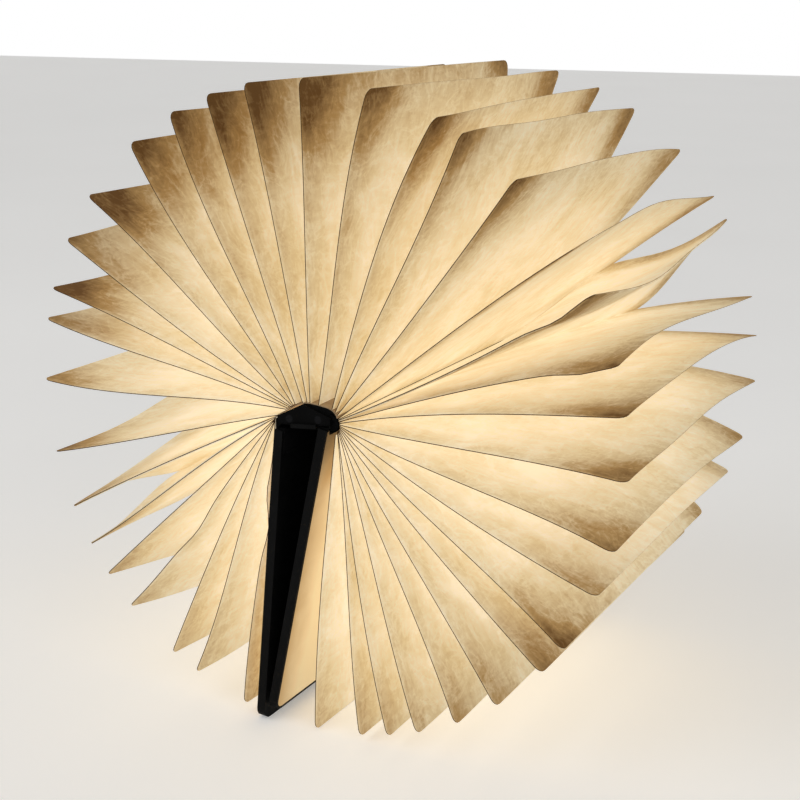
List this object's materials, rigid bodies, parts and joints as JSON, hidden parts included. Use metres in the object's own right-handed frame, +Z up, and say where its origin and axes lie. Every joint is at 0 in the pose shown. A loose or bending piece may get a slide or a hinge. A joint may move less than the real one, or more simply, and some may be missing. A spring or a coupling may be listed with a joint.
{
  "type": "folding book lamp",
  "caption": "Folding book lamp standing opened right round: glowing pages fan out all the way round a lit spine, between two black covers hanging back to back.",
  "frame": {"origin": "on the table, straight below the spine's axis and midway along the spine", "axes": "+X right, +Y along the spine towards the charging end, +Z up"},
  "size_m": [0.3202, 0.215, 0.3202],
  "materials": {
    "housing_plastic": "moulded, fine grain",
    "cap_plastic": "moulded, fine grain",
    "diffuser_plastic": "milky, lit from inside",
    "white_circuit_board": "white solder mask",
    "green_circuit_board": "green solder mask",
    "chip_plastic": "moulded",
    "led_phosphor": "warm phosphor under clear resin",
    "battery_foil": "foil pouch",
    "socket_steel": "plated",
    "screw_steel": "blackened",
    "magnet_nickel": "nickel plate",
    "spine_leather": "matt, fine grain",
    "cover_leather": "matt, fine grain",
    "joint_cloth": "plain weave",
    "grey_board": "pressed fibre board",
    "binding_paper": "spunbonded sheet, lit from behind",
    "end_page_paper": "spunbonded sheet",
    "page_paper": "spunbonded sheet, lit from the spine"
  },
  "bodies": {
    "spine": {"housing_tray": "housing_plastic", "front_end_cap": "cap_plastic", "rear_end_cap": "cap_plastic", "diffuser": "diffuser_plastic", "led_boards": "white_circuit_board", "leds": "led_phosphor", "battery": "battery_foil", "control_board": "green_circuit_board", "usb_port": "socket_steel", "hall_sensor": "chip_plastic", "cap_screws": "screw_steel", "spine_board": "spine_leather", "page_binding": "binding_paper", "left_hinge_strip": "joint_cloth", "right_hinge_strip": "joint_cloth"},
    "left_cover": {"left_cover_board": "grey_board", "left_cover_wrap": "cover_leather", "left_end_page": "end_page_paper", "left_magnets": "magnet_nickel"},
    "right_cover": {"right_cover_board": "grey_board", "right_cover_wrap": "cover_leather", "right_end_page": "end_page_paper", "right_magnets": "magnet_nickel"},
    "page_01": {"page_01": "page_paper"},
    "page_02": {"page_02": "page_paper"},
    "page_03": {"page_03": "page_paper"},
    "page_04": {"page_04": "page_paper"},
    "page_05": {"page_05": "page_paper"},
    "page_06": {"page_06": "page_paper"},
    "page_07": {"page_07": "page_paper"},
    "page_08": {"page_08": "page_paper"},
    "page_09": {"page_09": "page_paper"},
    "page_10": {"page_10": "page_paper"},
    "page_11": {"page_11": "page_paper"},
    "page_12": {"page_12": "page_paper"},
    "page_13": {"page_13": "page_paper"},
    "page_14": {"page_14": "page_paper"},
    "page_15": {"page_15": "page_paper"},
    "page_16": {"page_16": "page_paper"},
    "page_17": {"page_17": "page_paper"},
    "page_18": {"page_18": "page_paper"},
    "page_19": {"page_19": "page_paper"},
    "page_20": {"page_20": "page_paper"},
    "page_21": {"page_21": "page_paper"},
    "page_22": {"page_22": "page_paper"},
    "page_23": {"page_23": "page_paper"},
    "page_24": {"page_24": "page_paper"},
    "page_25": {"page_25": "page_paper"},
    "page_26": {"page_26": "page_paper"},
    "page_27": {"page_27": "page_paper"},
    "page_28": {"page_28": "page_paper"},
    "page_29": {"page_29": "page_paper"},
    "page_30": {"page_30": "page_paper"},
    "page_31": {"page_31": "page_paper"},
    "page_32": {"page_32": "page_paper"},
    "page_33": {"page_33": "page_paper"},
    "page_34": {"page_34": "page_paper"},
    "page_35": {"page_35": "page_paper"},
    "page_36": {"page_36": "page_paper"},
    "page_37": {"page_37": "page_paper"}
  },
  "joints": [
    {"name": "left_cover_hinge", "type": "hinge", "parent": "spine", "child": "left_cover", "pos_m": [-0.01557, 0, 0.16022], "axis": [0, 1, 0], "range_deg": [0, 169.6], "deforming": ["left_hinge_strip"]},
    {"name": "right_cover_hinge", "type": "hinge", "parent": "spine", "child": "right_cover", "pos_m": [0.01461, 0, 0.16286], "axis": [0, -1, 0], "range_deg": [0, 197], "deforming": ["right_hinge_strip"]},
    {"name": "page_01_turn", "type": "hinge", "parent": "spine", "child": "page_01", "pos_m": [0.0156, 0, 0.16127], "axis": [0, -1, 0], "range_deg": [0, 189.2]},
    {"name": "page_02_turn", "type": "hinge", "parent": "spine", "child": "page_02", "pos_m": [0.01513, 0, 0.16246], "axis": [0, -1, 0], "range_deg": [0, 180.3]},
    {"name": "page_03_turn", "type": "hinge", "parent": "spine", "child": "page_03", "pos_m": [0.01473, 0, 0.16322], "axis": [0, -1, 0], "range_deg": [0, 174.3]},
    {"name": "page_04_turn", "type": "hinge", "parent": "spine", "child": "page_04", "pos_m": [0.01426, 0, 0.16393], "axis": [0, -1, 0], "range_deg": [0, 168.4]},
    {"name": "page_05_turn", "type": "hinge", "parent": "spine", "child": "page_05", "pos_m": [0.01357, 0, 0.16482], "axis": [0, -1, 0], "range_deg": [0, 160.2]},
    {"name": "page_06_turn", "type": "hinge", "parent": "spine", "child": "page_06", "pos_m": [0.01268, 0, 0.16572], "axis": [0, -1, 0], "range_deg": [0, 151]},
    {"name": "page_07_turn", "type": "hinge", "parent": "spine", "child": "page_07", "pos_m": [0.01145, 0, 0.16663], "axis": [0, -1, 0], "range_deg": [0, 139.5]},
    {"name": "page_08_turn", "type": "hinge", "parent": "spine", "child": "page_08", "pos_m": [0.01069, 0, 0.16702], "axis": [0, -1, 0], "range_deg": [0, 133.2]},
    {"name": "page_09_turn", "type": "hinge", "parent": "spine", "child": "page_09", "pos_m": [0.00915, 0, 0.16763], "axis": [0, -1, 0], "range_deg": [0, 120.5]},
    {"name": "page_10_turn", "type": "hinge", "parent": "spine", "child": "page_10", "pos_m": [0.00807, 0, 0.16786], "axis": [0, -1, 0], "range_deg": [0, 112]},
    {"name": "page_11_turn", "type": "hinge", "parent": "spine", "child": "page_11", "pos_m": [0.00643, 0, 0.16798], "axis": [0, -1, 0], "range_deg": [0, 99.2]},
    {"name": "page_12_turn", "type": "hinge", "parent": "spine", "child": "page_12", "pos_m": [0.00509, 0, 0.16787], "axis": [0, -1, 0], "range_deg": [0, 88.6]},
    {"name": "page_13_turn", "type": "hinge", "parent": "spine", "child": "page_13", "pos_m": [0.0041, 0, 0.16773], "axis": [0, -1, 0], "range_deg": [0, 80.2]},
    {"name": "page_14_turn", "type": "hinge", "parent": "spine", "child": "page_14", "pos_m": [0.0026, 0, 0.16722], "axis": [0, -1, 0], "range_deg": [0, 67.4]},
    {"name": "page_15_turn", "type": "hinge", "parent": "spine", "child": "page_15", "pos_m": [0.0019, 0, 0.16709], "axis": [0, -1, 0], "range_deg": [0, 60.3]},
    {"name": "page_16_turn", "type": "hinge", "parent": "spine", "child": "page_16", "pos_m": [0.00038, 0, 0.16619], "axis": [0, -1, 0], "range_deg": [0, 46.7]},
    {"name": "page_17_turn", "type": "hinge", "parent": "spine", "child": "page_17", "pos_m": [-0.0009, 0, 0.16534], "axis": [0, -1, 0], "range_deg": [0, 35.3]},
    {"name": "page_18_turn", "type": "hinge", "parent": "spine", "child": "page_18", "pos_m": [-0.00148, 0, 0.16577], "axis": [0, -1, 0], "range_deg": [0, 29.5]},
    {"name": "page_19_turn", "type": "hinge", "parent": "spine", "child": "page_19", "pos_m": [-0.00354, 0, 0.16483], "axis": [0, -1, 0], "range_deg": [0, 18.3]},
    {"name": "page_20_turn", "type": "hinge", "parent": "spine", "child": "page_20", "pos_m": [-0.01424, 0, 0.15712], "axis": [0, -1, 0], "range_deg": [0, 4.9]},
    {"name": "page_21_turn", "type": "hinge", "parent": "spine", "child": "page_21", "pos_m": [0.00927, 0, 0.1746], "axis": [0, 1, 0], "range_deg": [0, 6.3]},
    {"name": "page_22_turn", "type": "hinge", "parent": "spine", "child": "page_22", "pos_m": [0.00305, 0, 0.1695], "axis": [0, 1, 0], "range_deg": [0, 14.3]},
    {"name": "page_23_turn", "type": "hinge", "parent": "spine", "child": "page_23", "pos_m": [0.00129, 0, 0.16793], "axis": [0, 1, 0], "range_deg": [0, 21.2]},
    {"name": "page_24_turn", "type": "hinge", "parent": "spine", "child": "page_24", "pos_m": [-0.00068, 0, 0.16792], "axis": [0, 1, 0], "range_deg": [0, 32.4]},
    {"name": "page_25_turn", "type": "hinge", "parent": "spine", "child": "page_25", "pos_m": [-0.00263, 0, 0.16821], "axis": [0, 1, 0], "range_deg": [0, 47]},
    {"name": "page_26_turn", "type": "hinge", "parent": "spine", "child": "page_26", "pos_m": [-0.00362, 0, 0.16808], "axis": [0, 1, 0], "range_deg": [0, 56.2]},
    {"name": "page_27_turn", "type": "hinge", "parent": "spine", "child": "page_27", "pos_m": [-0.00492, 0, 0.16804], "axis": [0, 1, 0], "range_deg": [0, 67.7]},
    {"name": "page_28_turn", "type": "hinge", "parent": "spine", "child": "page_28", "pos_m": [-0.00569, 0, 0.1679], "axis": [0, 1, 0], "range_deg": [0, 74.9]},
    {"name": "page_29_turn", "type": "hinge", "parent": "spine", "child": "page_29", "pos_m": [-0.00707, 0, 0.16773], "axis": [0, 1, 0], "range_deg": [0, 86.5]},
    {"name": "page_30_turn", "type": "hinge", "parent": "spine", "child": "page_30", "pos_m": [-0.00908, 0, 0.16719], "axis": [0, 1, 0], "range_deg": [0, 103.6]},
    {"name": "page_31_turn", "type": "hinge", "parent": "spine", "child": "page_31", "pos_m": [-0.01039, 0, 0.16656], "axis": [0, 1, 0], "range_deg": [0, 115.2]},
    {"name": "page_32_turn", "type": "hinge", "parent": "spine", "child": "page_32", "pos_m": [-0.01133, 0, 0.16601], "axis": [0, 1, 0], "range_deg": [0, 123.6]},
    {"name": "page_33_turn", "type": "hinge", "parent": "spine", "child": "page_33", "pos_m": [-0.01215, 0, 0.16545], "axis": [0, 1, 0], "range_deg": [0, 130.9]},
    {"name": "page_34_turn", "type": "hinge", "parent": "spine", "child": "page_34", "pos_m": [-0.01293, 0, 0.16481], "axis": [0, 1, 0], "range_deg": [0, 138.1]},
    {"name": "page_35_turn", "type": "hinge", "parent": "spine", "child": "page_35", "pos_m": [-0.01408, 0, 0.1634], "axis": [0, 1, 0], "range_deg": [0, 151.7]},
    {"name": "page_36_turn", "type": "hinge", "parent": "spine", "child": "page_36", "pos_m": [-0.01457, 0, 0.16281], "axis": [0, 1, 0], "range_deg": [0, 156.7]},
    {"name": "page_37_turn", "type": "hinge", "parent": "spine", "child": "page_37", "pos_m": [-0.01531, 0, 0.1614], "axis": [0, 1, 0], "range_deg": [0, 168]}
  ],
  "couplings": [
    {"joint": "page_01_turn", "follows": "right_cover_hinge", "ratio": 0.96028},
    {"joint": "page_02_turn", "follows": "right_cover_hinge", "ratio": 0.91488},
    {"joint": "page_03_turn", "follows": "right_cover_hinge", "ratio": 0.88476},
    {"joint": "page_04_turn", "follows": "right_cover_hinge", "ratio": 0.85437},
    {"joint": "page_05_turn", "follows": "right_cover_hinge", "ratio": 0.81311},
    {"joint": "page_06_turn", "follows": "right_cover_hinge", "ratio": 0.76609},
    {"joint": "page_07_turn", "follows": "right_cover_hinge", "ratio": 0.70773},
    {"joint": "page_08_turn", "follows": "right_cover_hinge", "ratio": 0.67614},
    {"joint": "page_09_turn", "follows": "right_cover_hinge", "ratio": 0.61143},
    {"joint": "page_10_turn", "follows": "right_cover_hinge", "ratio": 0.56851},
    {"joint": "page_11_turn", "follows": "right_cover_hinge", "ratio": 0.5033},
    {"joint": "page_12_turn", "follows": "right_cover_hinge", "ratio": 0.44928},
    {"joint": "page_13_turn", "follows": "right_cover_hinge", "ratio": 0.40667},
    {"joint": "page_14_turn", "follows": "right_cover_hinge", "ratio": 0.34207},
    {"joint": "page_15_turn", "follows": "right_cover_hinge", "ratio": 0.30576},
    {"joint": "page_16_turn", "follows": "right_cover_hinge", "ratio": 0.23655},
    {"joint": "page_17_turn", "follows": "right_cover_hinge", "ratio": 0.17895},
    {"joint": "page_18_turn", "follows": "right_cover_hinge", "ratio": 0.14933},
    {"joint": "page_19_turn", "follows": "right_cover_hinge", "ratio": 0.09245},
    {"joint": "page_20_turn", "follows": "right_cover_hinge", "ratio": 0.02483},
    {"joint": "page_21_turn", "follows": "left_cover_hinge", "ratio": 0.03691},
    {"joint": "page_22_turn", "follows": "left_cover_hinge", "ratio": 0.0838},
    {"joint": "page_23_turn", "follows": "left_cover_hinge", "ratio": 0.12444},
    {"joint": "page_24_turn", "follows": "left_cover_hinge", "ratio": 0.19087},
    {"joint": "page_25_turn", "follows": "left_cover_hinge", "ratio": 0.27691},
    {"joint": "page_26_turn", "follows": "left_cover_hinge", "ratio": 0.33135},
    {"joint": "page_27_turn", "follows": "left_cover_hinge", "ratio": 0.39907},
    {"joint": "page_28_turn", "follows": "left_cover_hinge", "ratio": 0.44141},
    {"joint": "page_29_turn", "follows": "left_cover_hinge", "ratio": 0.50986},
    {"joint": "page_30_turn", "follows": "left_cover_hinge", "ratio": 0.61058},
    {"joint": "page_31_turn", "follows": "left_cover_hinge", "ratio": 0.67911},
    {"joint": "page_32_turn", "follows": "left_cover_hinge", "ratio": 0.72848},
    {"joint": "page_33_turn", "follows": "left_cover_hinge", "ratio": 0.77143},
    {"joint": "page_34_turn", "follows": "left_cover_hinge", "ratio": 0.81423},
    {"joint": "page_35_turn", "follows": "left_cover_hinge", "ratio": 0.89411},
    {"joint": "page_36_turn", "follows": "left_cover_hinge", "ratio": 0.92392},
    {"joint": "page_37_turn", "follows": "left_cover_hinge", "ratio": 0.99025}
  ]
}
